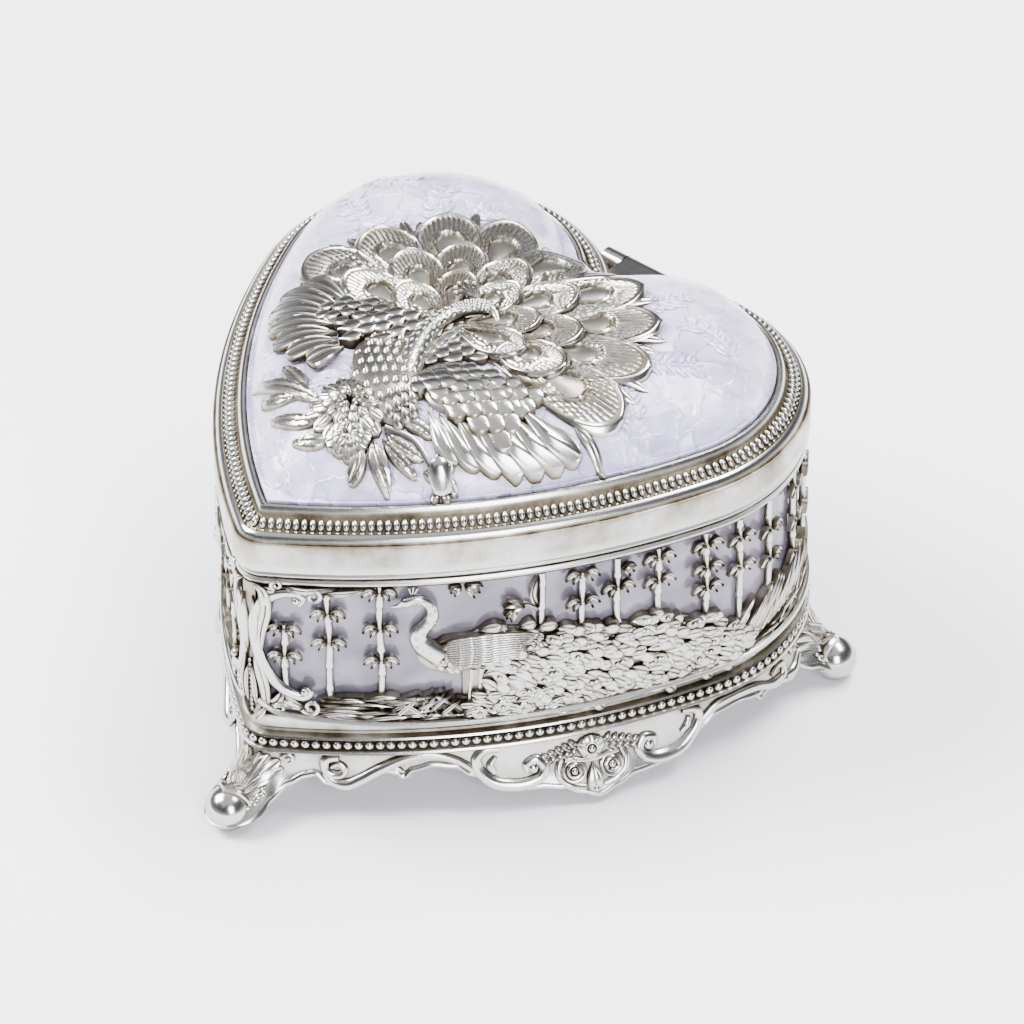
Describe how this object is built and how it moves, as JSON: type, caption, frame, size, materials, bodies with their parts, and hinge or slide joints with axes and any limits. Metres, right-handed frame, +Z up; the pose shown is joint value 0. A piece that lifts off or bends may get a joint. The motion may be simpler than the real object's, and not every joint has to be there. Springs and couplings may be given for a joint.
{
  "type": "wind-up music box",
  "caption": "Heart-shaped silver-plated music box with a hinged enamelled lid, peacock relief, jewel tray, comb movement and a winding key underneath.",
  "frame": {"origin": "on the table, under the middle of the box's outline", "axes": "+Z up, +Y towards the lid's hinge, the heart's point towards -Y"},
  "size_m": [0.1068, 0.11, 0.0702],
  "materials": {
    "silver_plate": "silver-plated zinc alloy casting with dark toning in the hollows",
    "pearl_enamel": "poured pearl enamel",
    "tinted_acrylic": "glossy lavender-tinted acrylic sheet",
    "velvet_flock": "velvet flocking",
    "velvet_pad": "velvet over card",
    "pressed_tray": "vacuum-formed tray",
    "plated_steel": "nickel-plated steel",
    "zinc_casting": "die-cast zinc, nickel-plated",
    "steel": "ground steel",
    "brass": "machined brass"
  },
  "bodies": {
    "case": {"body_frame": "silver_plate", "right_liner": "tinted_acrylic", "left_liner": "tinted_acrylic", "right_scene": "silver_plate", "left_scene": "silver_plate", "base_frame": "silver_plate", "tip_foot": "silver_plate", "right_foot": "silver_plate", "left_foot": "silver_plate", "foot_screws": "plated_steel", "base_plate": "plated_steel", "plate_screws": "plated_steel", "bed_screws": "plated_steel", "jewel_tray": "pressed_tray", "tray_lining": "velvet_flock", "hinge_leaf_body": "silver_plate", "hinge_pin": "plated_steel", "stop_guide": "brass", "bedplate": "zinc_casting", "comb": "steel", "comb_screws": "plated_steel", "barrel_bridge": "steel", "bridge_screws": "plated_steel", "click_pawl": "steel", "left_bracket": "steel", "right_bracket": "steel", "bracket_screws": "plated_steel", "governor_bracket": "steel"},
    "lid": {"lid_shell": "silver_plate", "lid_enamel": "pearl_enamel", "peacock_ornament": "silver_plate", "flower_spray": "silver_plate", "lid_pad": "velvet_pad", "hinge_leaf_lid": "silver_plate"},
    "key": {"winding_arbor": "steel", "ratchet_wheel": "steel", "winding_key": "plated_steel"},
    "barrel": {"spring_barrel": "brass", "barrel_cover": "brass", "mainspring": "steel"},
    "cylinder": {"cylinder_axle": "steel", "contrate_wheel": "brass", "note_cylinder": "brass", "cylinder_pins": "steel", "end_gear": "brass"},
    "governor": {"governor_shaft": "steel", "governor_pinion": "brass", "worm_wheel": "brass"},
    "worm": {"worm_shaft": "steel", "air_fan": "brass"},
    "stop": {"stop_rod": "plated_steel"}
  },
  "joints": [
    {"name": "lid_hinge", "type": "hinge", "parent": "case", "child": "lid", "pos_m": [0, 0.05305, 0.0485], "axis": [-1, 0, 0], "range_deg": [0, 100]},
    {"name": "key_turn", "type": "hinge", "parent": "case", "child": "key", "pos_m": [-0.0132, 0.01224, 0], "axis": [0, 0, 1], "continuous": true},
    {"name": "barrel_turn", "type": "hinge", "parent": "case", "child": "barrel", "pos_m": [-0.0132, 0.01224, 0.02], "axis": [0, 0, 1], "continuous": true},
    {"name": "cylinder_turn", "type": "hinge", "parent": "case", "child": "cylinder", "pos_m": [0, 0.01224, 0.02139], "axis": [1, 0, 0], "continuous": true},
    {"name": "governor_turn", "type": "hinge", "parent": "case", "child": "governor", "pos_m": [0, 0.021, 0.0227], "axis": [1, 0, 0], "continuous": true},
    {"name": "worm_turn", "type": "hinge", "parent": "case", "child": "worm", "pos_m": [0.02053, 0.02737, 0.02], "axis": [0, 0, 1], "continuous": true},
    {"name": "stop_slide", "type": "slide", "parent": "case", "child": "stop", "axis": [0, 0, 1], "range_m": [0, 0.002]}
  ],
  "couplings": [
    {"joint": "cylinder_turn", "follows": "barrel_turn", "ratio": 2},
    {"joint": "governor_turn", "follows": "barrel_turn", "ratio": -5.3333},
    {"joint": "worm_turn", "follows": "barrel_turn", "ratio": 128},
    {"joint": "stop_slide", "follows": "lid_hinge", "m_per_rad": 0.001145}
  ]
}
